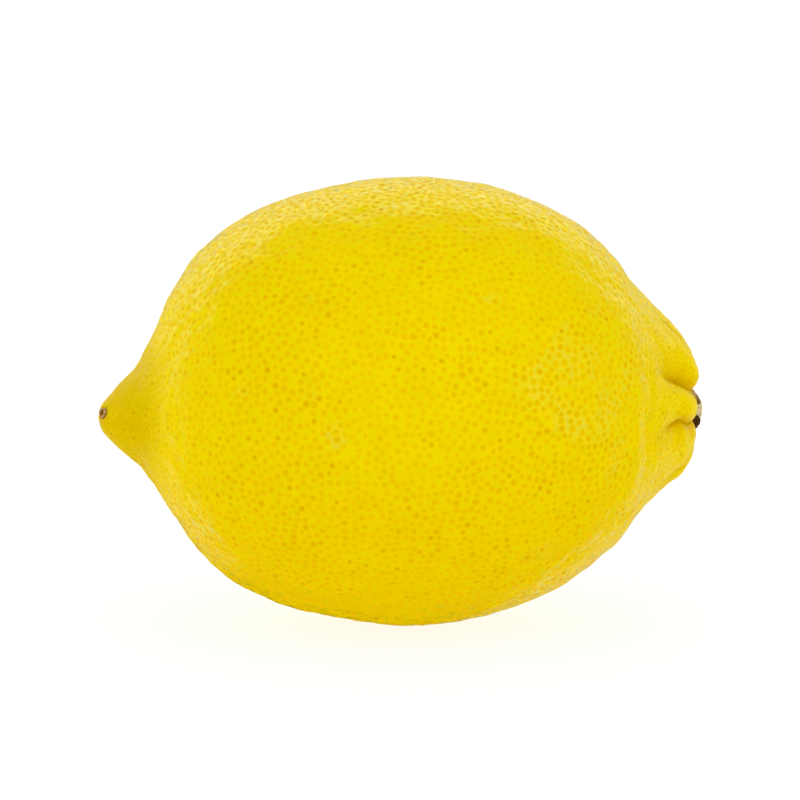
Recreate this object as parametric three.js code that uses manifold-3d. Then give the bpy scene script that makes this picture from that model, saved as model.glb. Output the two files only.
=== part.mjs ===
import * as THREE from 'three';
import { ConvexGeometry } from 'three/addons/geometries/ConvexGeometry.js';
import { mergeVertices } from 'three/addons/utils/BufferGeometryUtils.js';
import Module from 'manifold-3d';

// A whole lemon lying on its side, in millimetres, with +Z up.
// Its core line runs along X: the nipple points to -X and the stem to +X.
// An angle round the core line is 0 at -Y and grows towards +Z.

const wasm = await Module();
wasm.setup();

// The fruit's outline as [distance along the core line, radius]: the nipple's tip, its cone and neck,
// the belly, the shoulder, the lobes of the collar, and over their ends into the recess round the stem.
const fruitOutline = [
  [0, 0], [0.45, 1.75], [1.5, 3.2], [3.7, 5.5], [5.4, 7.2], [7.1, 9.8], [8.8, 13.0], [10.5, 16.1],
  [12.6, 19.1], [16, 22.8], [22.5, 27.1], [31, 30.1], [44.5, 31.8], [56, 30.4], [65, 26.9],
  [72.1, 21.5], [75.2, 17.7], [77.9, 14.9], [80.6, 12.1], [83, 9.9], [84.6, 7.6], [85.1, 5.9], [84.5, 4.7],
  [83.4, 4.1], [82.8, 3.2], [82.7, 0],
];
const widthOverHeight = 1.015;     // it lies on its slightly flatter side
const nippleOffset = { y: -0.9, z: -1.35 };   // the nipple stands a little off the core line
const nippleNeck = { from: 4.5, to: 11.5 };  // where it leans across to it
const stemOffset = { y: 0, z: -0.65 };       // and so does the stem end
const stemNeck = { from: 66, to: 80 };
const skinRadius = 1.5;            // the lumps and pits fade out this near the core line
const restingAlong = 44.5;         // the widest ring, under the fruit's weight
const restingRadius = 31.8;
const restingFlat = 0.3;           // how far the rind is pressed flat where it rests

// The collar's creases, as angles in degrees, and where they start, deepen fully and fade in the recess.
// The lobe above each crease stands this much lower than the fullest one.
const creaseAngles = [26, 70, 112, 158, 205, 250, 302, 350];
const lobeDrops = [0, 0.15, 0.5, 0.25, 0.7, 0.3, 0.6, 0.55];
const creaseDepth = 1.8;
const creaseStart = 75.5;
const creaseFull = 82.5;
const recessRadius = 4.1;
const lobeFullness = 0.6;          // below 1 the lobes are full and the creases between them narrow

// Soft lumps in the rind: waves in set directions, each shorter and lower than the one before
const lumpWaves = 7;
const lumpLength = 30;
const lumpHeight = 0.09;
const lumpShrink = 0.78;

// Oil-gland pits, larger than life, closer together on the nipple and the collar
const pitCount = 1700;
const pitDepth = 0.36;
const pitSpread = [0.3, 1.5];      // the shallowest and deepest, against pitDepth
const pitRim = 0.1;                // how far the net between the pits stands up
const pitSpacing = 3.1;
const pitScatter = 0.2;            // of the spacing
const pitSeed = 7;
const endCrowding = 1.4;
const pitFreeRadius = 8;           // no pits within this of the resting spot

// The dried button: a disc drawn out into five sepals, which lift towards their tips
const calyxFoot = 82.95;
const calyxProfile = [[0, 0], [2.6, 0], [3.1, 0.35], [3.05, 0.7], [2.4, 1], [1.9, 1.25], [0, 1.25]];
const calyxRadius = 3.1;
const calyxSides = 40;
const sepals = 5;
const sepalReach = 0.2;            // of the calyx's radius
const sepalLift = 1.3;
const sepalTurn = 40;              // degrees, of the first sepal

// The clipped stalk, oval and cut on a slant
const stubFoot = 83.75;
const stubEnd = 86;
const stubRadius = 1.4;
const stubOval = 0.08;
const stubSlant = 0.1;
const stubSides = 16;

// The dried end of the style, seated on the round tip of the nipple
const tipRadius = 3;
const scarProfile = [[0, 0], [0.95, 0], [1, 0.5], [0.75, 0.68], [0.4, 0.52], [0, 0.42]];
const scarRadius = 1;
const scarDepth = 0.5;
const scarSides = 16;
const scarTurn = 29;               // degrees towards -Y, off the core line
const scarTilt = 17;               // degrees upwards

const fitGap = 0.12;               // clearance between pieces that sit in each other
const stationCount = 600;
const poleLimit = 1 - 1e-9;        // just short of the globe's poles, where reach has no end
const mergeDistance = 1e-6;
const goldenAngle = Math.PI * (3 - Math.sqrt(5));
const goldenShare = (Math.sqrt(5) - 1) / 2;
const { clamp, degToRad, euclideanModulo, lerp, radToDeg, seededRandom, smoothstep } = THREE.MathUtils;

function endWeight(along) {
  const nipple = 1 - smoothstep(along, nippleNeck.from, nippleNeck.to);
  const collar = smoothstep(along, creaseStart - 4, creaseFull);
  return 1 + endCrowding * (nipple + collar);
}

// Even steps along the outline. Each has its outward normal, the share of all pits that lies before it,
// and its reach: the distance walked from the belly with each step divided by the radius, as on a
// sea chart, so that a cell keeps its shape between the fruit and a globe of the same reach.
function outlineStations() {
  const curve = new THREE.SplineCurve(fruitOutline.map((point) => new THREE.Vector2(...point)));
  const points = curve.getSpacedPoints(stationCount);
  const step = curve.getLength() / stationCount;
  let pits = 0;
  let reach = 0;
  const walked = points.map(({ x: along, y }, index) => {
    const radius = Math.max(y, 0);
    const ahead = points[Math.min(index + 1, stationCount)];
    const behind = points[Math.max(index - 1, 0)];
    const tangent = ahead.clone().sub(behind).normalize();
    pits += radius * endWeight(along);
    reach += step / Math.max(radius, step);
    return { along, radius, normal: [-tangent.y, tangent.x], share: pits, reach };
  });
  const belly = walked.find((station) => station.along >= restingAlong);
  const scaled = ({ share, reach: walk }) => ({ share: share / pits, reach: walk - belly.reach });
  return walked.map((station) => ({ ...station, ...scaled(station) }));
}

const stations = outlineStations();

// The outline where its share or its reach has this value
function stationAt(measure, value) {
  const found = stations.findIndex((station) => station[measure] >= value);
  const last = found < 0 ? stationCount : Math.max(found, 1);
  const after = stations[last];
  const before = stations[last - 1];
  const mix = clamp((value - before[measure]) / (after[measure] - before[measure]), 0, 1);
  const between = (name) => lerp(before[name], after[name], mix);
  return {
    along: between('along'),
    radius: between('radius'),
    reach: between('reach'),
    normal: before.normal.map((part, axis) => lerp(part, after.normal[axis], mix)),
  };
}

// How far the collar sinks under its fullest lobe at this angle
function collarDrop(angle) {
  const degrees = euclideanModulo(radToDeg(angle) - creaseAngles[0], 360);
  const starts = creaseAngles.map((crease) => crease - creaseAngles[0]);
  const lobe = starts.findLastIndex((start) => start <= degrees);
  const end = starts[lobe + 1] ?? 360;
  const across = (degrees - starts[lobe]) / (end - starts[lobe]);
  return lerp(creaseDepth, lobeDrops[lobe], Math.sin(Math.PI * across) ** lobeFullness);
}

function creaseLift(along, radius, angle) {
  const onCollar = smoothstep(along, creaseStart, creaseFull);
  const outsideRecess = smoothstep(radius, recessRadius - 1, recessRadius + 2);
  return -collarDrop(angle) * onCollar * outsideRecess;
}

function lumpLift(x, y, z) {
  let lift = 0;
  for (let wave = 0; wave < lumpWaves; wave++) {
    const shrink = lumpShrink ** wave;
    const up = 2 * ((wave * goldenShare) % 1) - 1;
    const flat = Math.sqrt(1 - up * up);
    const turn = wave * goldenAngle;
    const across = x * flat * Math.cos(turn) + y * flat * Math.sin(turn) + z * up;
    lift += lumpHeight * shrink * Math.sin((2 * Math.PI * across) / (lumpLength * shrink) + wave);
  }
  return lift;
}

// The point of the rind that a direction out of the fruit's middle stands for, raised by pitLift
function rindPoint(direction, pitLift) {
  const reach = Math.atanh(clamp(direction.x, -poleLimit, poleLimit));
  const { along, radius, normal } = stationAt('reach', reach);
  const angle = Math.atan2(direction.z, -direction.y);
  const y = -radius * Math.cos(angle);
  const z = radius * Math.sin(angle);
  const skin = smoothstep(radius, skinRadius, 2 * skinRadius);
  const fromRest = Math.hypot(along - restingAlong, y, z + radius);
  const pitted = (skin * smoothstep(fromRest, pitFreeRadius, 1.5 * pitFreeRadius)) / endWeight(along);
  const lift = skin * lumpLift(along, y, z) + pitted * pitLift + creaseLift(along, radius, angle);
  const swell = radius > 0 ? 1 + (normal[1] * lift) / radius : 1;
  const nipple = 1 - smoothstep(along, nippleNeck.from, nippleNeck.to);
  const stem = smoothstep(along, stemNeck.from, stemNeck.to);
  return new THREE.Vector3(
    along + normal[0] * lift,
    y * swell * widthOverHeight + nippleOffset.y * nipple + stemOffset.y * stem,
    z * swell + nippleOffset.z * nipple + stemOffset.z * stem,
  );
}

// One direction on the globe for each pit, on a spiral round the X axis, scattered a little
function pitDirections() {
  seededRandom(pitSeed);
  const scatter = () => pitScatter * (2 * seededRandom() - 1);
  return Array.from({ length: pitCount }, (_, pit) => {
    const { along, radius, reach } = stationAt('share', (pit + 0.5) / pitCount);
    const spread = pitSpacing / Math.sqrt(endWeight(along)) / Math.max(radius, pitSpacing);
    const x = Math.tanh(reach + scatter() * spread);
    const turn = pit * goldenAngle + scatter() * spread;
    const ring = Math.sqrt(1 - x * x);
    return new THREE.Vector3(x, ring * Math.cos(turn), ring * Math.sin(turn));
  });
}

function merged(geometry) {
  const bare = geometry.clone();
  bare.deleteAttribute('normal');
  bare.deleteAttribute('uv');
  return mergeVertices(bare, mergeDistance);
}

function pointOf(attribute, index) {
  return new THREE.Vector3().fromBufferAttribute(attribute, index);
}

// A net of cells round the pits: each triangle between three pits gives a raised corner of the net,
// and two triangles join the corners on either side of each of its edges to the pits at its ends
function rindGeometry() {
  const hull = merged(new ConvexGeometry(pitDirections()));
  const pits = hull.attributes.position;
  const triangles = hull.index.array;
  const directions = Array.from({ length: pits.count }, (_, pit) => pointOf(pits, pit));
  const depths = directions.map(() => pitDepth * lerp(...pitSpread, seededRandom()));
  const points = directions.map((direction, pit) => rindPoint(direction, -depths[pit]));
  const cornerOfEdge = new Map();
  for (let first = 0; first < triangles.length; first += 3) {
    const [a, b, c] = triangles.slice(first, first + 3);
    const middle = directions[a].clone().add(directions[b]).add(directions[c]).normalize();
    for (const edge of [[a, b], [b, c], [c, a]]) cornerOfEdge.set(edge.join(), points.length);
    points.push(rindPoint(middle, pitRim));
  }
  const faces = [];
  for (const [edge, corner] of cornerOfEdge) {
    const [from, to] = edge.split(',').map(Number);
    faces.push(from, cornerOfEdge.get(`${to},${from}`), corner);
  }
  return new THREE.BufferGeometry().setFromPoints(points).setIndex(faces);
}

function toSolid(geometry, mesh = new THREE.Mesh()) {
  mesh.updateMatrix();
  const closed = merged(geometry.clone().applyMatrix4(mesh.matrix));
  const index = closed.index.array;
  const triVerts = [];
  for (let first = 0; first < index.length; first += 3) {
    const [a, b, c] = index.slice(first, first + 3);
    if (a !== b && b !== c && c !== a) triVerts.push(a, b, c);
  }
  return new wasm.Manifold(new wasm.Mesh({
    numProp: 3,
    vertProperties: closed.attributes.position.array,
    triVerts: Uint32Array.from(triVerts),
  }));
}

function toGeometry(solid) {
  const { vertProperties, triVerts } = solid.getMesh();
  const geometry = new THREE.BufferGeometry();
  geometry.setAttribute('position', new THREE.BufferAttribute(vertProperties, 3));
  geometry.setIndex(new THREE.BufferAttribute(triVerts, 1));
  geometry.computeVertexNormals();
  return geometry;
}

function piece(name, geometry, color, roughness) {
  const mesh = new THREE.Mesh(geometry, new THREE.MeshStandardMaterial({ color, roughness, metalness: 0 }));
  mesh.name = name;
  return mesh;
}

function latheGeometry(profile, sides) {
  return new THREE.LatheGeometry(profile.map((point) => new THREE.Vector2(...point)), sides);
}

// A turned piece has its axis on Y, and this points it along the core line towards the stem
function onStemAxis(mesh, along) {
  mesh.rotation.z = -Math.PI / 2;
  mesh.position.set(along, stemOffset.y, stemOffset.z);
  return mesh;
}

function scarAxis() {
  const turn = degToRad(scarTurn);
  const tilt = degToRad(scarTilt);
  return new THREE.Vector3(-Math.cos(turn), -Math.sin(turn), Math.tan(tilt)).normalize();
}

// Stands a turned piece on the nipple's round tip, its foot this far under the skin
function onNippleTip(mesh, depth) {
  const axis = scarAxis();
  const tipMiddle = new THREE.Vector3(tipRadius, nippleOffset.y, nippleOffset.z);
  mesh.quaternion.setFromUnitVectors(new THREE.Vector3(0, 1, 0), axis);
  mesh.position.copy(tipMiddle).addScaledVector(axis, tipRadius - depth);
  return mesh;
}

function makeStyleScar() {
  return onNippleTip(piece('style_scar', latheGeometry(scarProfile, scarSides), 0x8a6238, 0.9), scarDepth);
}

function scarSocket() {
  const radius = scarRadius + fitGap;
  const height = 2 * (scarDepth + fitGap);
  return toSolid(
    new THREE.CylinderGeometry(radius, radius, height, scarSides),
    onNippleTip(new THREE.Mesh(), 0),
  );
}

function bench() {
  const size = 2 * restingRadius;
  const block = new THREE.Mesh();
  block.position.set(restingAlong, 0, restingFlat - restingRadius - size / 2);
  return toSolid(new THREE.BoxGeometry(size, size, size), block);
}

function makeFruit() {
  const whole = toSolid(rindGeometry());
  const resting = whole.subtract(bench()).subtract(scarSocket());
  return piece('fruit', toGeometry(resting), 0xf0d000, 0.45);
}

function stubSocket() {
  const radius = stubRadius * (1 + stubOval) + fitGap;
  const height = stubEnd - stubFoot;
  const place = onStemAxis(new THREE.Mesh(), stubFoot - fitGap + height / 2);
  return toSolid(new THREE.CylinderGeometry(radius, radius, height, stubSides), place);
}

function makeCalyx() {
  const disc = latheGeometry(calyxProfile, calyxSides);
  const points = disc.attributes.position;
  for (let i = 0; i < points.count; i++) {
    const point = pointOf(points, i);
    const angle = Math.atan2(point.z, point.x);
    const out = (point.x ** 2 + point.z ** 2) / calyxRadius ** 2;
    const tip = out * Math.cos(sepals * (angle - degToRad(sepalTurn)));
    const reach = 1 + sepalReach * tip;
    points.setXYZ(i, point.x * reach, point.y + sepalLift * Math.max(tip, 0), point.z * reach);
  }
  const button = toSolid(disc, onStemAxis(new THREE.Mesh(), calyxFoot));
  return piece('calyx', toGeometry(button.subtract(stubSocket())), 0x7a5a34, 0.85);
}

function makeStemStub() {
  const height = stubEnd - stubFoot;
  const stalk = new THREE.CylinderGeometry(stubRadius, stubRadius, height, stubSides);
  stalk.translate(0, height / 2, 0).scale(1 + stubOval, 1, 1 - stubOval);
  const points = stalk.attributes.position;
  for (let i = 0; i < points.count; i++) {
    const slant = points.getY(i) > height / 2 ? stubSlant * points.getZ(i) : 0;
    points.setY(i, points.getY(i) + slant);
  }
  return onStemAxis(piece('stem_stub', stalk, 0xc9b184, 0.9), stubFoot);
}

const lemon = new THREE.Group();
lemon.name = 'lemon';
lemon.add(makeFruit(), makeStyleScar(), makeCalyx(), makeStemStub());

// The origin is under the middle of the lemon, on what it rests on
const bounds = new THREE.Box3().setFromObject(lemon);
const middle = bounds.getCenter(new THREE.Vector3());
lemon.position.set(-middle.x, -middle.y, -bounds.min.z);

export default lemon;
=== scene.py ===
import math

import bmesh
import bpy
import numpy as np
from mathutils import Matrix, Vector, kdtree, noise


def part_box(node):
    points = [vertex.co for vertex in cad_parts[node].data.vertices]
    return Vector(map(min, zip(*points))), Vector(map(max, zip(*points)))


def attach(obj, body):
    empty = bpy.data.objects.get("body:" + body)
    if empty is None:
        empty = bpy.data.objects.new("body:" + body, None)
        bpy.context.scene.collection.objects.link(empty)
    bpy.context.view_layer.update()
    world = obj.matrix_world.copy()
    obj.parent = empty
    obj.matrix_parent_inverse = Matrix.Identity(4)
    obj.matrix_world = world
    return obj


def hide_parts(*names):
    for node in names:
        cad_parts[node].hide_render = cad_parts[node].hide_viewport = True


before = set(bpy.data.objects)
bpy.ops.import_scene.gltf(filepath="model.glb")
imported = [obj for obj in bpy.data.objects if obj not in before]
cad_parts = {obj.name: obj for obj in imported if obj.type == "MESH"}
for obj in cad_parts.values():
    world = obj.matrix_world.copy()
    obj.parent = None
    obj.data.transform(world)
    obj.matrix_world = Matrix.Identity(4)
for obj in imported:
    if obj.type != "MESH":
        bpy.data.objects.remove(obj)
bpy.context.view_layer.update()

millimetre = 0.001
goldenAngle = math.pi * (3 - math.sqrt(5))
goldenShare = (math.sqrt(5) - 1) / 2

# The whole fruit, in millimetres. The core line runs along X from the nipple's tip to the stem, and
# an angle round it is 0 at the front (-Y) and grows upwards.
fruit = {
    "outline": [
        (0, 0), (0.45, 1.75), (1.5, 3.2), (3.7, 5.5), (5.4, 7.2), (7.1, 9.8), (8.8, 13.0), (10.5, 16.1),
        (12.6, 19.1), (16, 22.8), (22.5, 27.1), (31, 30.1), (44.5, 31.8), (56, 30.4), (65, 26.9),
        (72.1, 21.5), (75.2, 17.7), (77.9, 14.9), (80.6, 12.1), (83, 9.9), (84.6, 7.6), (85.1, 5.9),
        (84.5, 4.7), (83.4, 4.1), (82.8, 3.2), (82.7, 0),
    ],
    "curveSteps": 60,                  # between two points of the outline
    "stations": 1500,                  # along the whole outline
    "widthOverHeight": 1.015,
    "nippleOffset": (-0.9, -1.35),     # across and up, off the core line
    "nippleNeck": (4.5, 11.5),
    "stemOffset": (0, -0.65),
    "stemNeck": (66, 80),
    "restingAlong": 44.5,
    "restingRadius": 31.8,
    "restingFlat": 0.3,
    "smoothTip": 1.5,                  # lumps and pits fade out this near the core line
    "seed": 7,
}

collar = {
    "creaseAngles": (23, 76, 112, 158, 205, 250, 296, 337),   # degrees
    "creaseShares": (1, 0.4, 0.8, 1, 1, 0.8, 0.4, 1),         # how deep each one is
    "lobeDrops": (0, 0.15, 0.5, 0.25, 0.7, 0.3, 0.6, 0.55),   # how much lower each stands
    "creaseDepth": 1.8,
    "creaseStart": 75.5,
    "creaseFull": 82.5,
    "lobeFullness": 0.6,
    "foldDepth": 0.75,                 # the sharp fold at the bottom of a crease
    "recessRadius": 4.1,
    "recessFade": (-1, 2),             # how far in and out of it the creases fade
    "twist": 3,                        # degrees, of the creases at the recess
    "bend": (14, -15, 25),             # degrees, where they start: how much, at what angle, how wide
    "bendFade": (-0.5, 3.5),           # where the bend goes over to the twist, from creaseFull on
}

lumps = {"waves": 7, "length": 30, "height": 0.09, "shrink": 0.78}

# Fine ridges that run towards both ends, where the rind is drawn in
wrinkles = {
    "nippleFade": (3, 8, 13, 20),      # where they begin, are full, start to fade and are gone
    "stemFade": (66, 70, 74, 78),
    "around": 8,                       # how close together, and how long
    "stretch": 6,
    "height": 0.14,
}

# Gentle swellings and hollows: how far along, the angle in degrees, how wide and how high
swells = (
    (6, 98, 5, -0.3), (14.5, 98, 4, -0.3), (49, 98, 4, -0.25), (54, 98, 4, 0.25), (70.5, 98, 4, 0.5),
    (80, 98, 5, 0.6), (7, -82, 6, -0.55), (32, -82, 6, -0.15), (54, -82, 6, -0.3), (76, -82, 3.5, -0.5),
    (82.5, -82, 3.5, 0.8), (25, 170, 6, 0.3), (60, 200, 7, -0.3), (38, 130, 6, 0.25), (66, 150, 5, 0.3),
)

# Paler net between the glands, partly its own paler colour and partly painted sheen: in patches,
# each as how far along, the angle in degrees, and the half length and width, and on both necks,
# as how strong, and where it begins, is full, starts to fade and is gone
paleSkinAndSheen = {
    "patches": (
        (66, 11, 13, 11), (52, 34, 2.5, 4), (18, 12, 2, 2), (27, 12, 3, 2.5), (30, 0, 2.5, 3),
        (60, -38, 5, 3), (40, 100, 9, 6), (57, 150, 8, 9), (30, 205, 10, 7), (50, 262, 7, 6)),
    "patchFade": (0.5, 1.1),           # of the half length and width
    "girth": 31,                       # the radius at which a patch has its full width
    "nipple": 0.75,
    "nippleFade": (3, 8, 13, 19),
    "nippleTurn": 8,                   # degrees, to where it is least and again half way round; painted sheen on its upper and lower sides
    "stem": 0.65,
    "stemFade": (65, 70, 73.5, 76.5),
}

# How much of the wax sheen the nipple's tip keeps and the collar loses
sheen = {"atTip": 0.15, "tipFade": (4, 13), "collarLoss": 0.65}

glands = {
    "count": 10400,
    "spacing": 1.4,
    "scatter": 0.5,                    # of the spacing
    "apart": 1.38,                     # millimetres at the belly, and closer ones are pushed apart
    "neighbours": 6,
    "pushes": 4,
    "pushShare": 0.25,
    "endCrowding": 1.4,                # how much closer they stand at both ends
    "crowdingReach": 4,                # before the creases start
    "depth": 0.05,
    "spread": (0.4, 3.0),              # the shallowest and deepest, against depth
    "ringShare": 0.38,                 # how deep the pit's slope still is half way out
    "netHeight": 0.025,
    "radius": (0.42, 0.62),            # of the coloured spot
    "ringPlace": 0.42,                 # of the way from the centre to a corner
    "dimpleScale": 3.4,                # of the rind's softer unevenness
    "dimpleHeight": 0.19,
}

bake = {"square": 174, "gap": 2}       # the sheet that the skin's six flat charts lie on


def smoothStep(value, low, high):
    share = np.clip((value - low) / (high - low), 0, 1)
    return share * share * (3 - 2 * share)


# How much more closely than at the belly the glands stand
def endWeight(along):
    nipple = 1 - smoothStep(along, *fruit["nippleNeck"])
    stem = smoothStep(along, collar["creaseStart"] - glands["crowdingReach"], collar["creaseFull"])
    return 1 + glands["endCrowding"] * (nipple + stem)


# A smooth curve through the outline's points, as even stations with what is known at each
def walkOutline():
    points = np.array(fruit["outline"], float)
    padded = np.vstack([points[:1], points, points[-1:]])
    spans = []
    share = np.linspace(0, 1, fruit["curveSteps"], endpoint=False)[:, None]
    for before, start, end, after in zip(padded, padded[1:], padded[2:], padded[3:]):
        into, out = (end - before) / 2, (after - start) / 2
        curve = (2 * start - 2 * end + into + out) * share ** 3
        curve += (3 * end - 3 * start - 2 * into - out) * share ** 2 + into * share + start
        spans.append(curve)
    path = np.vstack(spans + [points[-1:]])
    walked = np.concatenate([[0], np.cumsum(np.linalg.norm(np.diff(path, axis=0), axis=1))])
    even = np.linspace(0, walked[-1], fruit["stations"] + 1)
    along = np.interp(even, walked, path[:, 0])
    radius = np.maximum(np.interp(even, walked, path[:, 1]), 0)
    slope = np.stack([np.gradient(along), np.gradient(radius)])
    slope /= np.linalg.norm(slope, axis=0)
    share = np.cumsum(radius * endWeight(along))
    reach = np.cumsum(even[1] / np.maximum(radius, even[1]))     # keeps the cells' shape on a globe
    belly = np.searchsorted(along, fruit["restingAlong"])
    return {
        "along": along, "radius": radius, "outAlong": -slope[1], "outAcross": slope[0],
        "share": share / share[-1], "reach": reach - reach[belly],
    }


stations = walkOutline()


# The named facts of the outline where the measure has the given values
def lookUp(measure, values, *names):
    return [np.interp(values, stations[measure], stations[name]) for name in names]


# How far the collar sinks under its fullest lobe at each angle, and 1 at the bottom of a crease
def collarDrop(angle):
    starts = np.array(collar["creaseAngles"] + (collar["creaseAngles"][0] + 360,), float)
    degrees = (np.degrees(angle) - starts[0]) % 360 + starts[0]
    lobe = np.clip(np.searchsorted(starts, degrees, side="right") - 1, 0, len(starts) - 2)
    across = (degrees - starts[lobe]) / (starts[lobe + 1] - starts[lobe])
    crest = np.sin(np.pi * np.clip(across, 0, 1)) ** collar["lobeFullness"]
    shares = np.array(collar["creaseShares"] + collar["creaseShares"][:1])
    crease = np.where(across < 0.5, shares[lobe], shares[lobe + 1]) * (1 - crest)
    drop = np.array(collar["lobeDrops"])[lobe] * crest + collar["creaseDepth"] * crease
    return drop + collar["foldDepth"] * crease * (1 - crest) ** 2, crease


# The angle that a point of a crease would be at if all creases ran straight
def straightened(angle, along):
    begin, full = collar["bendFade"]
    inside = smoothStep(along, collar["creaseFull"] + begin, collar["creaseFull"] + full)
    much, middle, wide = np.radians(collar["bend"])
    beside = np.angle(np.exp(1j * (angle - middle)))
    bend = much * np.exp(-(beside / wide) ** 2)
    return angle + math.radians(collar["twist"]) * inside - bend * (1 - inside)


# 1 where the collar's lobes and creases are, and 0 before them and in the recess
def collarMask(along, radius):
    near, far = collar["recessFade"]
    outsideRecess = smoothStep(radius, collar["recessRadius"] + near, collar["recessRadius"] + far)
    return smoothStep(along, collar["creaseStart"], collar["creaseFull"]) * outsideRecess


# Soft lumps: waves that run in evenly spread directions, each smaller than the one before
def lumpLift(along, across, up):
    lift = np.zeros_like(along)
    for wave in range(lumps["waves"]):
        shrink = lumps["shrink"] ** wave
        rise = 2 * ((wave * goldenShare) % 1) - 1
        flat = math.sqrt(1 - rise * rise)
        turn = wave * goldenAngle
        way = along * flat * math.cos(turn) + across * flat * math.sin(turn) + up * rise
        lift += lumps["height"] * shrink * np.sin(2 * np.pi * way / (lumps["length"] * shrink) + wave)
    return lift


def swellLift(along, angle, radius):
    lift = np.zeros_like(along)
    for middle, turn, reach, height in swells:
        beside = radius * np.angle(np.exp(1j * (angle - math.radians(turn))))
        lift += height * np.exp(-((along - middle) ** 2 + beside ** 2) / reach ** 2)
    return lift


def noiseAt(points):
    return np.array([noise.noise(Vector(point)) for point in points])


def dimpleLift(along, across, up):
    points = np.stack([along, across, up], 1) / glands["dimpleScale"]
    return glands["dimpleHeight"] * (noiseAt(points) + 0.5 * noiseAt(2.3 * points))


# 0 up to begin, 1 from full to fade, and 0 again where it is gone
def hump(value, begin, full, fade, gone):
    return smoothStep(value, begin, full) * (1 - smoothStep(value, fade, gone))


def drawnIn(along):
    return hump(along, *wrinkles["nippleFade"]) + hump(along, *wrinkles["stemFade"])


def wrinkleLift(along, angle):
    across, up = wrinkles["around"] * np.cos(angle), wrinkles["around"] * np.sin(angle)
    points = np.stack([along / wrinkles["stretch"], across, up], 1)
    ridge = 0.5 - np.abs(2 * noiseAt(points)) + 0.4 * noiseAt(2.1 * points)
    return wrinkles["height"] * drawnIn(along) * ridge


# Where the net between the glands is pale, partly its own paler colour and partly painted sheen:
# a few patches, and both necks
def palenessAndSheen(along, angle):
    sides = np.sin(angle - math.radians(paleSkinAndSheen["nippleTurn"])) ** 2
    pale = paleSkinAndSheen["nipple"] * sides * hump(along, *paleSkinAndSheen["nippleFade"])
    pale += paleSkinAndSheen["stem"] * hump(along, *paleSkinAndSheen["stemFade"])
    for middle, turn, length, width in paleSkinAndSheen["patches"]:
        beside = paleSkinAndSheen["girth"] * np.angle(np.exp(1j * (angle - math.radians(turn))))
        away = np.hypot((along - middle) / length, beside / width)
        pale = np.maximum(pale, 1 - smoothStep(away, *paleSkinAndSheen["patchFade"]))
    return pale


# Points of the rind in millimetres round the core line, from places on the globe and the lift of
# each by its gland, and the masks that its material reads
def rindPoints(globe, pitLift):
    x = np.clip(globe[:, 0] / np.linalg.norm(globe, axis=1), -1 + 1e-9, 1 - 1e-9)
    along, radius, outAlong, outAcross = lookUp(
        "reach", np.arctanh(x), "along", "radius", "outAlong", "outAcross")
    angle = np.arctan2(globe[:, 2], -globe[:, 1])
    y, z = -radius * np.cos(angle), radius * np.sin(angle)
    skin = smoothStep(radius, fruit["smoothTip"], 2 * fruit["smoothTip"])
    onCollar = collarMask(along, radius)
    drop, crease = collarDrop(straightened(angle, along))
    lift = skin * (lumpLift(along, y, z) + dimpleLift(along, y, z) + wrinkleLift(along, angle))
    lift += skin * swellLift(along, angle, radius)
    lift += skin * pitLift / endWeight(along) ** 0.5 - onCollar * drop
    swell = 1 + outAcross * lift / np.maximum(radius, 1e-6)
    nipple = 1 - smoothStep(along, *fruit["nippleNeck"])
    stem = smoothStep(along, *fruit["stemNeck"])
    y = y * swell * fruit["widthOverHeight"]
    y += fruit["nippleOffset"][0] * nipple + fruit["stemOffset"][0] * stem
    z = z * swell + fruit["nippleOffset"][1] * nipple + fruit["stemOffset"][1] * stem
    gloss = sheen["atTip"] + (1 - sheen["atTip"]) * smoothStep(along, *sheen["tipFade"])
    # The crease mask says where the material paints shade, and the pale mask where it paints a paler net
    # and sheen
    masks = {
        "nipple": nipple, "crease": onCollar * crease, "pale": palenessAndSheen(along, angle),
        "gloss": gloss * (1 - sheen["collarLoss"] * onCollar)}
    return np.stack([along + outAlong * lift, y, z], 1), masks


# Where the core line starts in the frame, in millimetres, from the CAD's calyx and stub
def frameOrigin():
    foot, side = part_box("calyx")[0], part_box("stem_stub")
    across = (side[0].y + side[1].y) / 2 / millimetre - fruit["stemOffset"][0]
    return np.array([
        foot.x / millimetre - calyx["foot"], across, fruit["restingRadius"] - fruit["restingFlat"]])


# The way the scar faces, out of the nipple's tip
def scarWay():
    turn, tilt = math.radians(scar["turn"]), math.radians(scar["tilt"])
    return Vector((-math.cos(turn), -math.sin(turn), math.tan(tilt))).normalized()


# Sinks the skin under the scar, so that none of it stands out of the scar's hollow
def sinkUnderScar(points):
    way = np.array(scarWay())
    apart = points - [scar["tipRadius"], *fruit["nippleOffset"]]
    height = apart @ way
    beside = np.linalg.norm(apart - height[:, None] * way, axis=1)
    near, far = scar["sinkFade"]
    under = (height > 0) * (1 - smoothStep(beside, near * scar["radius"], far * scar["radius"]))
    return points - (scar["sink"] * under)[:, None] * way


# Lays the mesh in the frame, in metres, and flattens what would reach below the floor
def placePoints(mesh, points):
    points = points + frameOrigin()
    points[:, 2] = np.maximum(points[:, 2], 0)
    mesh.vertices.foreach_set("co", (points * millimetre).ravel())
    mesh.update()


def readNumbers(collection, name, width, kind=float):
    values = np.zeros(len(collection) * width, kind)
    collection.foreach_get(name, values)
    return values.reshape(-1, width) if width > 1 else values


def addMap(mesh, name, values):
    mesh.uv_layers.new(name=name).uv.foreach_set("vector", np.ascontiguousarray(values).ravel())


# Up to four masks as the red, green, blue and alpha of a colour at each point
def addTone(mesh, name, *values):
    layer = mesh.attributes.new(name, "FLOAT_COLOR", "POINT")
    colours = np.ones((len(values[0]), 4))
    colours[:, :len(values)] = np.stack(values, 1)
    layer.data.foreach_set("color", colours.ravel())


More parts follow.
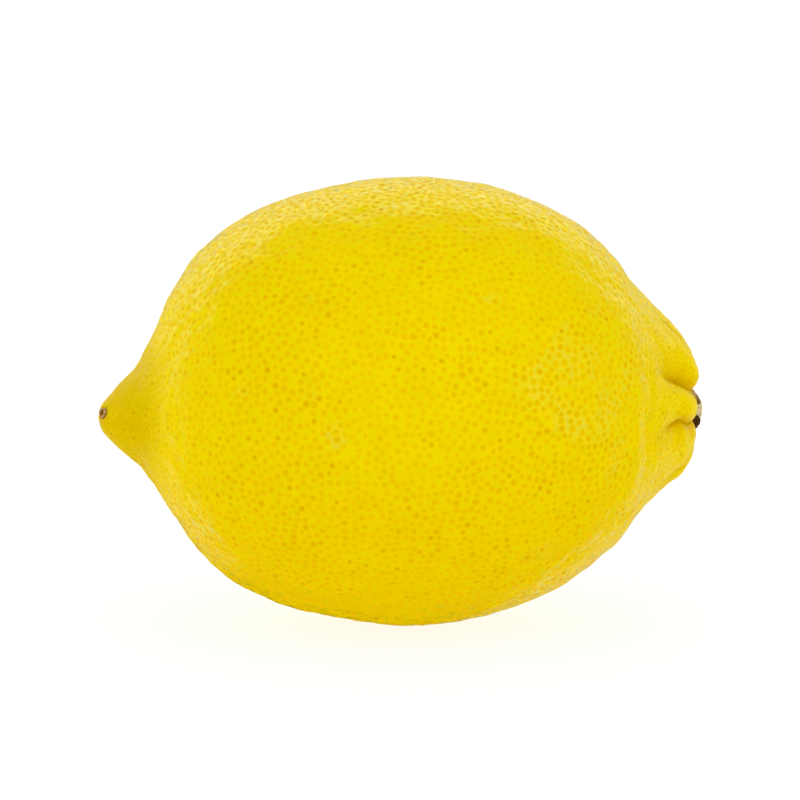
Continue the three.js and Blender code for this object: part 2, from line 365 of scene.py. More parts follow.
def finishPiece(name, mesh, material, node):
    mesh.shade_smooth()
    mesh.materials.append(material)
    piece = bpy.data.objects.new(name, mesh)
    bpy.context.scene.collection.objects.link(piece)
    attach(piece, "root")
    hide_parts(node)
    print("made", name, "with", sum(len(face.vertices) - 2 for face in mesh.polygons), "triangles")
    return piece


# Pushes the places that lie closer together than apart away from each other, over the globe
def spaceOut(places, apart):
    for push in range(glands["pushes"]):
        tree = kdtree.KDTree(len(places))
        for index, place in enumerate(places):
            tree.insert(place, index)
        tree.balance()
        found = [tree.find_n(place, glands["neighbours"] + 1) for place in places]
        near = np.array([[index for spot, index, away in spots[1:]] for spots in found])
        gap = places[:, None] - places[near]
        length = np.linalg.norm(gap, axis=2)
        short = np.maximum(apart[:, None] / np.maximum(length, 1e-9) - 1, 0)
        places = places + glands["pushShare"] * (gap * short[..., None]).sum(1)
        places /= np.linalg.norm(places, axis=1)[:, None]
    return places


# Seeded places for the glands on the globe, along a spiral
def scatterGlands(draw):
    order = np.arange(glands["count"])
    along, radius, reach = lookUp("share", (order + 0.5) / len(order), "along", "radius", "reach")
    spread = glands["spacing"] / endWeight(along) ** 0.5 / np.maximum(radius, glands["spacing"])
    scatter = glands["scatter"] * spread * draw.uniform(-1, 1, (2, len(order)))
    x = np.tanh(reach + scatter[0])
    turn = order * goldenAngle + scatter[1]
    ring = np.sqrt(1 - x * x)
    apart = glands["apart"] * ring / endWeight(along) ** 0.5 / np.maximum(radius, 0.3)
    return spaceOut(np.stack([x, ring * np.cos(turn), ring * np.sin(turn)], 1), apart)


# A globe with a cell round every gland: its centre, a ring half way out, and corners shared with
# the cells beside it
def meshGlands(places):
    bm = bmesh.new()
    for place in places:
        bm.verts.new(place)
    bmesh.ops.convex_hull(bm, input=bm.verts, use_existing_faces=False)
    between = list(bm.edges)
    bmesh.ops.poke(bm, faces=bm.faces)
    bmesh.ops.rotate_edges(bm, edges=between, use_ccw=False)
    bm.verts.index_update()
    firstRing = len(bm.verts)
    spokes = [edge for edge in bm.edges if sum(vert.index < len(places) for vert in edge.verts) == 1]
    bmesh.ops.subdivide_edges(bm, edges=spokes, cuts=1)
    bmesh.ops.recalc_face_normals(bm, faces=bm.faces)
    mesh = bpy.data.meshes.new("fruit")
    bm.to_mesh(mesh)
    bm.free()
    return mesh, firstRing


# The maps that the rind's material reads at each corner, and the flat charts for a bake
def mapCells(mesh, cells, draw):
    corners = readNumbers(mesh.loops, "vertex_index", 1, np.int32)
    starts = readNumbers(mesh.polygons, "loop_start", 1, np.int32)
    sizes = readNumbers(mesh.polygons, "loop_total", 1, np.int32)
    cell = np.repeat(np.maximum.reduceat(cells[corners], starts), sizes)
    points = readNumbers(mesh.vertices, "co", 3) / millimetre
    normals = readNumbers(mesh.vertex_normals, "vector", 3)

    # How far each corner lies from its own gland, in millimetres across the skin
    facing = normals[cell]
    guide = np.where(np.abs(facing[:, :1]) > 0.9, [[0, 0, 1]], [[1, 0, 0]])
    sideways = np.cross(facing, guide)
    sideways /= np.linalg.norm(sideways, axis=1)[:, None]
    apart = points[corners] - points[cell]
    addMap(mesh, "glandOffset", np.stack([
        (apart * sideways).sum(1), (apart * np.cross(facing, sideways)).sum(1)], 1))

    # The spot's radius in millimetres, and how dark it is
    along = points[:glands["count"], 0] - frameOrigin()[0]
    size, dark = draw.uniform(0, 1, (2, glands["count"]))
    least, most = glands["radius"]
    radius = (least + (most - least) * size) / endWeight(along) ** 0.5
    addMap(mesh, "glandKind", np.stack([radius[cell], dark[cell]], 1))

    # Six flat charts, one for each way the skin faces, in three rows
    axis = np.abs(facing).argmax(1)
    chart = 2 * axis + (np.take_along_axis(facing, axis[:, None], 1)[:, 0] < 0)
    flat = np.zeros((len(corners), 2))
    top = bake["gap"]
    for row, (acrossAxis, upAxis) in enumerate([(1, 2), (0, 2), (0, 1)]):
        left, tallest = bake["gap"], 0
        for side in (0, 1):
            here = chart == 2 * row + side
            spot = points[corners[here]][:, [acrossAxis, upAxis]]
            low, high = spot.min(0), spot.max(0)
            flat[here] = spot - low + [left, top]
            left += high[0] - low[0] + bake["gap"]
            tallest = max(tallest, high[1] - low[1])
        top += tallest + bake["gap"]
    print("charts reach", flat.max(0).round(1), "of", bake["square"])
    addMap(mesh, "OFBake", flat / bake["square"])


# The rind: which gland each point belongs to, then the pits, then the maps
def makeFruit():
    draw = np.random.default_rng(fruit["seed"])
    mesh, firstRing = meshGlands(scatterGlands(draw))
    count = glands["count"]
    globe = readNumbers(mesh.vertices, "co", 3)
    ends = np.sort(readNumbers(mesh.edges, "vertices", 2, np.int32), axis=1)
    cells = np.full(len(globe), -1)
    cells[:count] = np.arange(count)
    onSpoke = ends[:, 1] >= firstRing
    inner = ends[onSpoke & (ends[:, 0] < count)]
    outer = ends[onSpoke & (ends[:, 0] >= count) & (ends[:, 0] < firstRing)]
    cells[inner[:, 1]] = inner[:, 0]
    outwards = glands["ringPlace"]
    globe[outer[:, 1]] = globe[cells[outer[:, 1]]] * (1 - outwards) + globe[outer[:, 0]] * outwards

    # The glands are pits, with the net between them raised
    shallow, deep = glands["spread"]
    depth = glands["depth"] * (shallow + (deep - shallow) * draw.uniform(0, 1, count) ** 3)
    lift = np.full(len(globe), glands["netHeight"])
    lift[:count] = -depth
    lift[firstRing:] = -depth[cells[firstRing:]] * glands["ringShare"]
    points, masks = rindPoints(globe, lift)
    placePoints(mesh, sinkUnderScar(points))
    addTone(mesh, "regions", masks["nipple"], masks["crease"], masks["pale"], masks["gloss"])
    mapCells(mesh, cells, draw)
    return finishPiece("fruitRind", mesh, rindMaterial(), "fruit")


# A shader node, with numbers or other nodes' outputs at its inputs
def addNode(tree, kind, inputs=None, **settings):
    made = tree.nodes.new("ShaderNode" + kind)
    for name, value in settings.items():
        setattr(made, name, value)
    for name, value in (inputs or {}).items():
        if isinstance(value, bpy.types.NodeSocket):
            tree.links.new(value, made.inputs[name])
        else:
            made.inputs[name].default_value = value
    return made


def calculate(tree, operation, *values):
    return addNode(tree, "Math", dict(enumerate(values)), operation=operation).outputs[0]


# 0 below low, 1 above high and smooth between; the other way round where low is above high
def fadeBetween(tree, value, low, high):
    settings = {"Value": value, "From Min": low, "From Max": high}
    return addNode(tree, "MapRange", settings, interpolation_type="SMOOTHSTEP").outputs[0]


def blendColours(tree, share, first, second, kind="MIX"):
    made = addNode(tree, "Mix", {0: share, 6: first, 7: second}, data_type="RGBA", blend_type=kind)
    return made.outputs[2]


def makeNoise(tree, place, scale, detail=2, roughness=0.5):
    inputs = {"Vector": place, "Scale": scale, "Detail": detail, "Roughness": roughness}
    return addNode(tree, "TexNoise", inputs).outputs[0]


# A colour as seen on a screen, from 0 to 255, as the renderer wants it
def screenColour(red, green, blue):
    linear = []
    for level in (red / 255, green / 255, blue / 255):
        linear.append(level / 12.92 if level <= 0.04045 else ((level + 0.055) / 1.055) ** 2.4)
    return (*linear, 1)


def newMaterial(name, **sockets):
    material = bpy.data.materials.new(name)
    material.use_nodes = True
    tree = material.node_tree
    shader = tree.nodes["Principled BSDF"]
    for socket, value in sockets.items():
        shader.inputs[socket.replace("_", " ")].default_value = value
    return material, tree, shader


# Colours as seen on a screen. A scale is how many patches or grains go to a metre, a fade is where a
# mask begins and is full, and a share is how much of the colour under it a mark hides.
rind = {
    "net": (246, 219, 0),
    "netPale": (247, 223, 0),
    "mottleScale": 260,
    "mottleFade": (0.35, 0.68),
    "gland": (240, 200, 0),
    "darkGland": (236, 189, 0),
    "darkFade": (0.55, 1),             # of how dark a gland is drawn
    "raggedScale": 1900,
    "ragged": 0.3,                     # millimetres, of the edges of spots
    "spotInner": 0.25,                 # of the gland's radius, where a spot starts to fade
    "spotOuter": 1.4,
    "patchScale": 75,
    "patchFade": (0.38, 0.66),
    "spotShare": (0.75, 0.25),         # everywhere, and added in patches
    "nippleLoss": 0.5,                 # of the spots
    "dot": (206, 152, 4),
    "dotFade": (0.34, 0.08),           # millimetres from the gland's centre
    "dotChosen": (0.88, 1),
    "dotShare": 0.35,
    "netFade": (0.75, 1.5),            # of the gland's radius, where the net between spots starts
    # Partly the net's own paler colour, partly painted sheen
    "paleNetAndSheen": (242, 218, 62),
    "paleScale": 150,
    "paleByPatch": 0.22,
    "paleFade": (0.6, 0.9),
    "undersideShade": (254, 236, 0),        # a tint that deepens the rind towards the floor: painted shade and bounce light, partly a deeper tone of its own
    "undersideFade": (0.034, 0.002),   # metres above the floor
    "undersideShare": 0.55,
    # Painted shade: a deep orange for the bottoms of the collar's creases
    "crease": (206, 150, 0),
    "creaseShare": 0.8,
    "nipple": (222, 207, 255),         # a tint as well
    "nippleFade": (0.2, 1.1),
    "nippleShare": 0.66,
    "speck": (176, 112, 20),
    "speckScale": 230,
    "speckFade": (0.07, 0.03),
    "speckChosen": (0.9, 0.93),
    "speckShare": 0.45,
    "wax": (0.69, 0.06),               # of the net, on top of that of the pits
    "roughness": (0.2, 0.3, 0.18),     # by grain, at least, and more in a spot
    "roughScale": 900,
    "grainScale": 3200,
    "grainHeight": 0.16,
    "spotHeight": -0.22,
    "bump": 0.45,
    "bumpDistance": 0.00012,           # metres
}


def rindMaterial():
    material, tree, shader = newMaterial(
        "lemonRind", IOR=1.45, Specular_IOR_Level=0.1, Subsurface_Weight=0.12,
        Subsurface_Radius=(1.0, 0.6, 0.08), Subsurface_Scale=0.0012, Coat_Roughness=0.07, Coat_IOR=1.6)
    place = addNode(tree, "TexCoord").outputs["Object"]
    offset = addNode(tree, "UVMap", uv_map="glandOffset").outputs[0]
    kind = addNode(tree, "SeparateXYZ", {0: addNode(tree, "UVMap", uv_map="glandKind").outputs[0]})
    radius, dark = kind.outputs[0], kind.outputs[1]
    painted = addNode(tree, "Attribute", attribute_name="regions")
    regions = addNode(tree, "SeparateColor", {0: painted.outputs["Color"]})
    onNipple, creaseShadeMask, paleAndSheenMask = regions.outputs
    away = addNode(tree, "VectorMath", {0: offset}, operation="LENGTH").outputs["Value"]
    ragged = makeNoise(tree, place, rind["raggedScale"], 2)
    ragged = calculate(tree, "MULTIPLY_ADD", ragged, rind["ragged"], -rind["ragged"] / 2)
    away = calculate(tree, "ADD", away, ragged)

    # Round spots over the glands, stronger in some patches than in others
    inner = calculate(tree, "MULTIPLY", radius, rind["spotInner"])
    outer = calculate(tree, "MULTIPLY", radius, rind["spotOuter"])
    spot = fadeBetween(tree, away, outer, inner)
    patch = fadeBetween(tree, makeNoise(tree, place, rind["patchScale"], 3), *rind["patchFade"])
    everywhere, added = rind["spotShare"]
    strength = calculate(tree, "MULTIPLY_ADD", patch, added, everywhere)
    kept = calculate(tree, "MULTIPLY_ADD", onNipple, -rind["nippleLoss"], 1)
    strength = calculate(tree, "MULTIPLY", strength, kept)
    spotColour = blendColours(
        tree, fadeBetween(tree, dark, *rind["darkFade"]), screenColour(*rind["gland"]),
        screenColour(*rind["darkGland"]))
    mottle = fadeBetween(tree, makeNoise(tree, place, rind["mottleScale"], 4, 0.6), *rind["mottleFade"])
    net = blendColours(tree, mottle, screenColour(*rind["net"]), screenColour(*rind["netPale"]))
    colour = blendColours(tree, calculate(tree, "MULTIPLY", spot, strength), net, spotColour)

    # The darkest have a small brown dot in the middle
    dot = fadeBetween(tree, away, *rind["dotFade"])
    dot = calculate(tree, "MULTIPLY", dot, fadeBetween(tree, dark, *rind["dotChosen"]))
    dot = calculate(tree, "MULTIPLY", dot, rind["dotShare"])
    colour = blendColours(tree, dot, colour, screenColour(*rind["dot"]))

    # Here and there the skin between the spots is paler: partly its own paler colour, partly painted
    # sheen
    near, far = (calculate(tree, "MULTIPLY", radius, share) for share in rind["netFade"])
    between = fadeBetween(tree, away, near, far)
    pale = makeNoise(tree, place, rind["paleScale"], 5, 0.7)
    pale = calculate(tree, "MULTIPLY_ADD", paleAndSheenMask, rind["paleByPatch"], pale)
    pale = calculate(tree, "MULTIPLY", fadeBetween(tree, pale, *rind["paleFade"]), between)
    colour = blendColours(tree, pale, colour, screenColour(*rind["paleNetAndSheen"]))

    # Painted shade and bounce light towards the floor, over a partly deeper tone of its own, painted
    # shade in the creases of the collar, and the nipple's tint
    height = addNode(tree, "SeparateXYZ", {0: place}).outputs[2]
    low = fadeBetween(tree, height, *rind["undersideFade"])
    low = calculate(tree, "MULTIPLY", low, rind["undersideShare"])
    colour = blendColours(tree, low, colour, screenColour(*rind["undersideShade"]), "MULTIPLY")
    # Painted shade in the bottoms of the collar's creases
    crease = calculate(tree, "MULTIPLY", creaseShadeMask, rind["creaseShare"])
    colour = blendColours(tree, crease, colour, screenColour(*rind["crease"]))
    nipple = fadeBetween(tree, onNipple, *rind["nippleFade"])
    nipple = calculate(tree, "MULTIPLY", nipple, rind["nippleShare"])
    colour = blendColours(tree, nipple, colour, screenColour(*rind["nipple"]), "MULTIPLY")

    # A few small dry specks
    cells = addNode(tree, "TexVoronoi", {"Vector": place, "Scale": rind["speckScale"]})
    chosen = addNode(tree, "SeparateColor", {0: cells.outputs["Color"]}).outputs[0]
    chosen = fadeBetween(tree, chosen, *rind["speckChosen"])
    speck = fadeBetween(tree, cells.outputs["Distance"], *rind["speckFade"])
    speck = calculate(tree, "MULTIPLY", calculate(tree, "MULTIPLY", speck, chosen), rind["speckShare"])
    colour = blendColours(tree, speck, colour, screenColour(*rind["speck"]))
    tree.links.new(colour, shader.inputs["Base Color"])

    # The wax shines on the net, and the pits stay dull
    gloss = calculate(tree, "MULTIPLY_ADD", between, *rind["wax"])
    gloss = calculate(tree, "MULTIPLY", gloss, painted.outputs["Alpha"])
    tree.links.new(gloss, shader.inputs["Coat Weight"])
    byGrain, least, inSpot = rind["roughness"]
    rough = makeNoise(tree, place, rind["roughScale"], 3)
    rough = calculate(tree, "MULTIPLY_ADD", rough, byGrain, least)
    rough = calculate(tree, "MULTIPLY_ADD", spot, inSpot, rough)
    tree.links.new(rough, shader.inputs["Roughness"])
    pit = calculate(tree, "MULTIPLY", spot, rind["spotHeight"])
    grain = makeNoise(tree, place, rind["grainScale"], 3, 0.6)
    grain = calculate(tree, "MULTIPLY_ADD", grain, rind["grainHeight"], pit)
    bump = addNode(
        tree, "Bump", {"Height": grain, "Strength": rind["bump"], "Distance": rind["bumpDistance"]})
    tree.links.new(bump.outputs[0], shader.inputs["Normal"])
    return material


dried = {
    "fineScale": 3.2,                  # how much finer the flecks are than the fibres
    "fibreFade": (0.32, 0.68),
    "fleckFade": (0.56, 0.7),
    "fleckShare": 0.7,
    "fleckHeight": 0.45,
    "roughness": (0.2, 0.62),          # more on the pale fibres, and at least
    "bump": 0.9,
    "bumpDistance": 0.0001,            # metres
}


# Dry plant tissue: fibres along the given place, and dark flecks in them
def driedTissue():
    group = bpy.data.node_groups.new("driedTissue", "ShaderNodeTree")
    for name, kind in (("Place", "NodeSocketVector"), ("Scale", "NodeSocketFloat")):
        group.interface.new_socket(name, in_out="INPUT", socket_type=kind)
    for name in ("Fibres", "Flecks", "Height"):
        group.interface.new_socket(name, in_out="OUTPUT", socket_type="NodeSocketFloat")
    source = group.nodes.new("NodeGroupInput").outputs
    result = group.nodes.new("NodeGroupOutput").inputs
    fibres = makeNoise(group, source["Place"], source["Scale"], 5, 0.62)
    fineScale = calculate(group, "MULTIPLY", source["Scale"], dried["fineScale"])
    fine = makeNoise(group, source["Place"], fineScale, 3, 0.6)
    height = calculate(group, "MULTIPLY_ADD", fine, dried["fleckHeight"], fibres)
    group.links.new(fadeBetween(group, fibres, *dried["fibreFade"]), result["Fibres"])
    group.links.new(fadeBetween(group, fine, *dried["fleckFade"]), result["Flecks"])
    group.links.new(height, result["Height"])
    return group


# The piece's "tones" say how much of a cut or pale face it is, and how much of a hollow: on the
# calyx the hollow colour is painted shade, on the stub the dark pith, on the scar its dark middle
def driedMaterial(name, tissue, finish):
    material, tree, shader = newMaterial(name, IOR=1.4)
    place = addNode(tree, "TexCoord").outputs["Object"]
    grown = addNode(tree, "Mapping", {"Vector": place, "Scale": finish["stretch"]}).outputs[0]
    grain = addNode(tree, "Group", node_tree=tissue)
    tree.links.new(grown, grain.inputs["Place"])
    grain.inputs["Scale"].default_value = finish["scale"]
    painted = addNode(tree, "Attribute", attribute_name="tones")
    tones = addNode(tree, "SeparateColor", {0: painted.outputs["Color"]})
    dark, middle, light, hollow = (
        screenColour(*finish[tone]) for tone in ("dark", "middle", "light", "hollow"))
    body = blendColours(tree, grain.outputs["Fibres"], dark, middle)
    face = blendColours(tree, grain.outputs["Fibres"], middle, light)
    colour = blendColours(tree, tones.outputs[0], body, face)
    flecks = calculate(tree, "MULTIPLY", grain.outputs["Flecks"], dried["fleckShare"])
    colour = blendColours(tree, flecks, colour, dark)
    colour = blendColours(tree, tones.outputs[1], colour, hollow)
    tree.links.new(colour, shader.inputs["Base Color"])
    rough = calculate(tree, "MULTIPLY_ADD", grain.outputs["Fibres"], *dried["roughness"])
    tree.links.new(rough, shader.inputs["Roughness"])
    bump = addNode(tree, "Bump", {
        "Height": grain.outputs["Height"], "Strength": dried["bump"], "Distance": dried["bumpDistance"]})
    tree.links.new(bump.outputs[0], shader.inputs["Normal"])
    return material


# Lengths in millimetres, and feet measured along the core line
calyx = {
    "foot": 82.95,
    "profile": [                       # radius, and how far along
        (0, 0), (1.4, 0), (2.7, 0.02), (3.2, 0.35), (3.35, 1.1), (3.2, 1.85), (2.8, 2.5), (2.25, 3.0),
        (1.8, 3.2), (1.45, 3.1), (0, 3.0)],
    "radius": 3.35,
    "around": 120,
    "step": 0.16,                      # of the profile
    "innerShare": 0.45,                # of the radius, up to where the sepals are one button
    "sepals": 5,
    "notch": 0.3,                      # of the radius, between two sepals
    "notchPower": 1.6,                 # the higher, the narrower
    "sepalTurn": 36,                   # degrees, of the first sepal
    "sepalShift": (0.2, -1.6),         # how unevenly the sepals stand
    "tipReach": 0.1,
    "longer": 0.14,                    # of the radius, of the lowest sepals
    "longerFade": (0, -0.8),           # sine of the angle
    "dip": 2.4,                        # how much lower it is between two sepals
    "dipFade": (0.9, 1.9),             # from the stub outwards
    "upperFade": (0.3, 1.5),           # the foot keeps its place
    "wrinkle": 0.2,
    "veins": 34,
    "veinHeight": 0.05,
    "veinFade": (0.5, 1.8),
    "ragged": 0.05,                    # of the radius, of the edge
    "dark": 0.8,                       # painted shade beside the stub and underneath
    "darkFade": (2.0, 1.3),
    "undersideFade": (0.1, -0.5),      # sine of the angle again, where the painted shade underneath comes in
    # Its hollow colour is painted shade
    "finish": {
        "stretch": (1, 1, 1), "scale": 1500, "dark": (58, 32, 10), "middle": (158, 112, 56),
        "light": (216, 182, 120), "hollow": (44, 20, 4),
    },
}

stub = {
    "foot": 83.75,
    "end": 86.4,
    "radius": 1.4,
    "around": 72,
    "step": 0.14,
    "slant": 0.1,                      # of the cut
    "droop": (0.6, 0.35),              # how far it hangs at its foot, and more for each millimetre
    "oval": 0.08,
    "ridges": (13, 29),                # broad ones, and fine ones on them
    "fineShare": 0.4,
    "ridgeHeight": 0.05,               # of the radius
    "ridgesFrom": 0.7,
    "cutFade": (0.5, 0.05),            # below the cut
    "cutRoughness": 0.05,
    "faceTone": (0.75, 0.25),          # how pale its side is, and how much paler the cut
    "pith": 0.75,
    "pithFade": (0.5, 0.2),
    "finish": {
        "stretch": (0.25, 1, 1), "scale": 2400, "dark": (122, 86, 42), "middle": (216, 190, 136),
        "light": (250, 238, 200), "hollow": (112, 76, 38),
    },
}

scar = {
    "profile": [
        (0, 0), (0.6, 0), (0.74, 0.2), (0.78, 0.44), (0.68, 0.62), (0.5, 0.64), (0.26, 0.58), (0, 0.55)],
    "radius": 0.78,
    "around": 72,
    "step": 0.07,
    "depth": 0.5,                      # of its seat in the tip
    "tipRadius": 3,                    # of the nipple's round tip
    "sink": 0.35,                      # how far the skin is pressed in under it
    "sinkFade": (0.7, 1.5),            # of its radius
    "turn": 29,                        # degrees towards the front
    "tilt": 17,                        # degrees up
    "wrinkle": 0.1,
    "upperFade": (0.3, 0.55),
    "outOfRound": 0.08,
    "ragged": 0.06,
    "rimTone": 0.6,
    "rimFade": (0.35, 0.55, 0.7, 0.84),
    "dark": 0.85,                      # in the middle
    "darkFade": (0.35, 0.12),
    "finish": {
        "stretch": (1, 1, 1), "scale": 2600, "dark": (120, 68, 24), "middle": (176, 122, 52),
        "light": (236, 214, 150), "hollow": (86, 48, 14),
    },
}


# A closed turned shape from a profile of (radius, along), turned round X
def spinProfile(profile, around):
    bm = bmesh.new()
    verts = [bm.verts.new((along, 0, radius)) for radius, along in profile]
    for first, second in zip(verts, verts[1:]):
        bm.edges.new((first, second))
    bmesh.ops.spin(
        bm, geom=bm.verts[:] + bm.edges[:], cent=(0, 0, 0), axis=(1, 0, 0), dvec=(0, 0, 0),
        angle=2 * math.pi, steps=around, use_merge=True, use_duplicate=False)
    bmesh.ops.remove_doubles(bm, verts=bm.verts, dist=1e-5)
    bmesh.ops.recalc_face_normals(bm, faces=bm.faces)
    return bm


# Splits the profile's long spans so that the turned shape has even faces
def finerProfile(profile, step):
    points = [profile[0]]
    for start, end in zip(profile, profile[1:]):
        parts = max(1, round(math.dist(start, end) / step))
        for part in range(1, parts + 1):
            share = part / parts
            points.append(tuple(a + (b - a) * share for a, b in zip(start, end)))
    return points


# The mesh of a turned shape, its points, and how far out and at what angle each lies
def turnedMesh(name, profile, around, step):
    bm = spinProfile(finerProfile(profile, step), around)
    mesh = bpy.data.meshes.new(name)
    bm.to_mesh(mesh)
    bm.free()
    points = readNumbers(mesh.vertices, "co", 3)
    radius = np.hypot(points[:, 1], points[:, 2])
    return mesh, points, radius, np.arctan2(points[:, 2], -points[:, 1])


# Withered sepals round the foot of the stub, as one button
def makeCalyx(tissue):
    mesh, points, radius, angle = turnedMesh("calyx", calyx["profile"], calyx["around"], calyx["step"])
    outward = smoothStep(radius, calyx["innerShare"] * calyx["radius"], calyx["radius"])
    byTwo, byOne = calyx["sepalShift"]
    shift = byTwo * np.sin(angle * 2 + 1) + byOne * np.sin(angle)
    sepal = (angle - math.radians(calyx["sepalTurn"])) * calyx["sepals"] + shift
    sepal = np.abs(np.cos(sepal / 2))
    notch = calyx["notch"] * (1 - sepal) ** calyx["notchPower"]
    edge = 1 + outward * (calyx["tipReach"] * sepal - notch)
    edge += calyx["longer"] * outward * smoothStep(np.sin(angle), *calyx["longerFade"])
    rough = noiseAt(1.6 * points) + 0.5 * noiseAt(4.2 * points)
    veins = calyx["veinHeight"] * np.sin(angle * calyx["veins"] + 3 * rough)
    veins *= smoothStep(radius, *calyx["veinFade"])
    upper = smoothStep(points[:, 0], *calyx["upperFade"])
    points[:, 0] -= upper * calyx["dip"] * (1 - sepal ** 3) * smoothStep(radius, *calyx["dipFade"])
    points[:, 0] += upper * (calyx["wrinkle"] * rough * outward + veins)
    points[:, 1:] *= (edge + calyx["ragged"] * rough * outward)[:, None]
    points[:, 0] += calyx["foot"]
    points[:, 2] += fruit["stemOffset"][1] - stub["droop"][0]
    points[:, 2] -= stub["droop"][1] * (points[:, 0] - stub["foot"])
    placePoints(mesh, points)
    # Painted shade: the ring beside the stub and the lower sepals are darkened, and the lower sepals
    # lose their pale faces
    shadedUnderneath = smoothStep(np.sin(angle), *calyx["undersideFade"])
    hollow = calyx["dark"] * np.maximum(smoothStep(radius, *calyx["darkFade"]), shadedUnderneath)
    addTone(mesh, "tones", outward * sepal * (1 - shadedUnderneath), hollow)
    material = driedMaterial("driedCalyx", tissue, calyx["finish"])
    return finishPiece("driedCalyx", mesh, material, "calyx")


# The clipped stalk, its cut face a little hollow
def makeStub(tissue):
    length, radius = stub["end"] - stub["foot"], stub["radius"]
    profile = [
        (0, 0), (radius * 1.02, 0), (radius, length - 0.22), (radius * 0.95, length - 0.06),
        (radius * 0.84, length), (radius * 0.3, length - 0.1), (0, length - 0.16)]
    mesh, points, reach, angle = turnedMesh("stub", profile, stub["around"], stub["step"])
    under, near = stub["cutFade"]
    top = smoothStep(points[:, 0], length - under, length - near)
    rough = noiseAt(points * [0.9, 2.2, 2.2])
    broad, fine = stub["ridges"]
    ridge = np.sin(angle * broad + 2 * rough) + stub["fineShare"] * np.sin(angle * fine)
    sides = smoothStep(reach, stub["ridgesFrom"] * radius, radius)
    points[:, 1:] *= (1 + sides * stub["ridgeHeight"] * (0.4 * ridge + rough))[:, None]
    points[:, 2] *= 1 + stub["oval"]
    points[:, 0] += top * (stub["slant"] * points[:, 2] + stub["cutRoughness"] * noiseAt(3.1 * points))
    points[:, 0] = np.minimum(points[:, 0], length)
    points[:, 2] -= stub["droop"][0] + stub["droop"][1] * points[:, 0]
    points[:, 0] += stub["foot"]
    points[:, 2] += fruit["stemOffset"][1]
    placePoints(mesh, points)
    pith = stub["pith"] * smoothStep(reach, *stub["pithFade"])
    side, cut = stub["faceTone"]
    addTone(mesh, "tones", side + cut * top, pith * top)
    material = driedMaterial("cutStem", tissue, stub["finish"])
    return finishPiece("stemStub", mesh, material, "stem_stub")


# The dried style's ring at the tip of the nipple
def makeScar(tissue):
    mesh, points, reach, angle = turnedMesh("scar", scar["profile"], scar["around"], scar["step"])
    rough = noiseAt(2.4 * points) + 0.5 * noiseAt(6 * points)
    upper = smoothStep(points[:, 0], *scar["upperFade"])
    points[:, 0] += upper * scar["wrinkle"] * rough
    edge = 1 + scar["outOfRound"] * np.sin(angle * 3 + 1) + scar["ragged"] * rough
    points[:, 1:] *= edge[:, None]
    points[:, 0] += scar["tipRadius"] - scar["depth"]
    points = points @ np.array(scarWay().to_track_quat("X", "Z").to_matrix()).T
    points += [scar["tipRadius"], *fruit["nippleOffset"]]
    placePoints(mesh, points)
    rim = hump(reach, *scar["rimFade"])
    addTone(mesh, "tones", scar["rimTone"] * rim, scar["dark"] * smoothStep(reach, *scar["darkFade"]))
    material = driedMaterial("driedStyle", tissue, scar["finish"])
    return finishPiece("styleScar", mesh, material, "style_scar")


view = {
    "azimuth": -8,                     # degrees round from the front, and up
    "elevation": 8,
    "lens": 180,
    "distance": 0.5675,                # metres
    "target": (0, 0, 0.0317),
}


def makeCamera():
    azimuth, elevation = math.radians(view["azimuth"]), math.radians(view["elevation"])
    flat = math.cos(elevation)
    back = Vector((math.sin(azimuth) * flat, -math.cos(azimuth) * flat, math.sin(elevation)))
    data = bpy.data.cameras.new("camera")
    data.lens = view["lens"]
    camera = bpy.data.objects.new("camera", data)
    camera.location = Vector(view["target"]) + back * view["distance"]
    camera.rotation_euler = back.to_track_quat("Z", "Y").to_euler()
    bpy.context.scene.collection.objects.link(camera)
    bpy.context.scene.camera = camera


studio = {
    "floorRadius": 12,                 # metres
    "floorShade": 0.25,
    "floorGlow": 0.8,                  # it is partly lit from inside, which thins the shadow
    "backLight": 1.0,                  # of the soft warm room that the wax mirrors
    "backColour": (1, 0.94, 0.77),
    "behindFade": (0.41, 0.6),         # how far round to the back it starts
    "sideShare": 2,                    # how much the sides count as up
    "sideFade": (-0.25, 0.25),
    "aboveFade": (0, 0.5),
    "aboveLight": (0.45, 0.55),        # more above, and at least
    "lamps": {                         # the way each shines from, how wide it is in degrees, how strong
        "front": {"way": (0, -1, 0.15), "width": 150, "strength": 1.33},
        "above": {"way": (0, -0.3, 1), "width": 150, "strength": 0.87},
        "below": {"way": (0, -0.1, -1), "width": 150, "strength": 0.12},
        "right": {"way": (1, -0.2, 0), "width": 150, "strength": 1.33},
        "left": {"way": (-1, -0.2, 0), "width": 150, "strength": 1.3},
        "behind": {"way": (0, 1, -0.7), "width": 150, "strength": 2.8},
    },
}


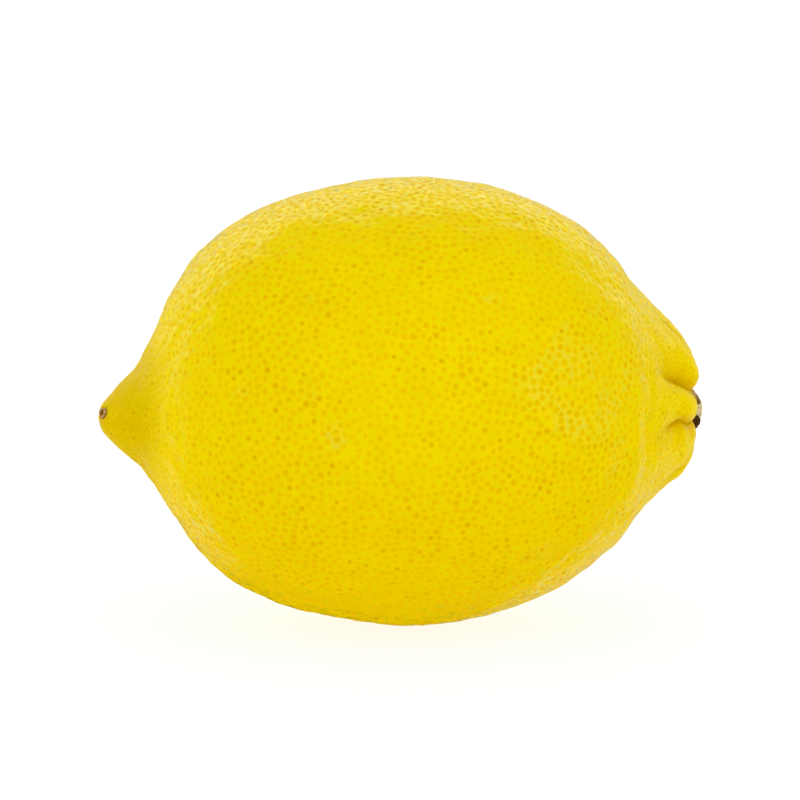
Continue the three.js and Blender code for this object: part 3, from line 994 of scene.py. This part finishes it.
# A pale floor that shows the fruit's shadow, and throws no light, gloss or shadow back on the fruit
def makeFloor():
    bm = bmesh.new()
    bmesh.ops.create_circle(bm, cap_ends=True, segments=96, radius=studio["floorRadius"])
    mesh = bpy.data.meshes.new("floor")
    bm.to_mesh(mesh)
    bm.free()
    material, tree, shader = newMaterial("paleFloor", Roughness=0.9, Specular_IOR_Level=0)
    shader.inputs["Base Color"].default_value = (studio["floorShade"],) * 3 + (1,)
    shader.inputs["Emission Color"].default_value = (1, 1, 1, 1)
    shader.inputs["Emission Strength"].default_value = studio["floorGlow"]
    mesh.materials.append(material)
    floor = bpy.data.objects.new("floor", mesh)
    floor.visible_glossy = False
    floor.visible_diffuse = False
    floor.visible_shadow = False
    bpy.context.scene.collection.objects.link(floor)


# The camera sees white all round, and the fruit only the warm room behind, above and beside it
def makeWorld():
    world = bpy.data.worlds.new("softRoom")
    world.use_nodes = True
    bpy.context.scene.world = world
    tree = world.node_tree
    background = tree.nodes["Background"]
    way = addNode(tree, "SeparateXYZ", {0: addNode(tree, "TexCoord").outputs["Generated"]}).outputs
    behind = fadeBetween(tree, way[1], *studio["behindFade"])
    sides = calculate(tree, "ABSOLUTE", way[0])
    sides = calculate(tree, "MULTIPLY_ADD", sides, studio["sideShare"], way[2])
    sides = fadeBetween(tree, sides, *studio["sideFade"])
    above = fadeBetween(tree, way[2], *studio["aboveFade"])
    above = calculate(tree, "MULTIPLY_ADD", above, *studio["aboveLight"])
    shine = calculate(tree, "MULTIPLY", calculate(tree, "MULTIPLY", sides, above), behind)
    shine = calculate(tree, "MULTIPLY", shine, studio["backLight"])
    seen = addNode(tree, "LightPath").outputs["Is Camera Ray"]
    tree.links.new(calculate(tree, "MAXIMUM", shine, seen), background.inputs["Strength"])
    colour = blendColours(tree, seen, studio["backColour"] + (1,), (1, 1, 1, 1))
    tree.links.new(colour, background.inputs["Color"])


# Broad lamps that light the fruit without showing in its wax
def makeLamps():
    for name, lamp in studio["lamps"].items():
        data = bpy.data.lights.new(name, "SUN")
        data.angle = math.radians(lamp["width"])
        data.energy = lamp["strength"]
        data.cycles.use_multiple_importance_sampling = False       # or it shows as gloss after all
        light = bpy.data.objects.new(name, data)
        light.rotation_euler = Vector(lamp["way"]).to_track_quat("Z", "Y").to_euler()
        light.visible_glossy = False
        bpy.context.scene.collection.objects.link(light)


print("camera and studio")
makeCamera()
makeFloor()
makeWorld()
makeLamps()
bpy.context.scene.view_settings.view_transform = "Standard"

print("fruit")
makeFruit()

print("stem end and nipple")
tissue = driedTissue()
makeCalyx(tissue)
makeStub(tissue)
makeScar(tissue)
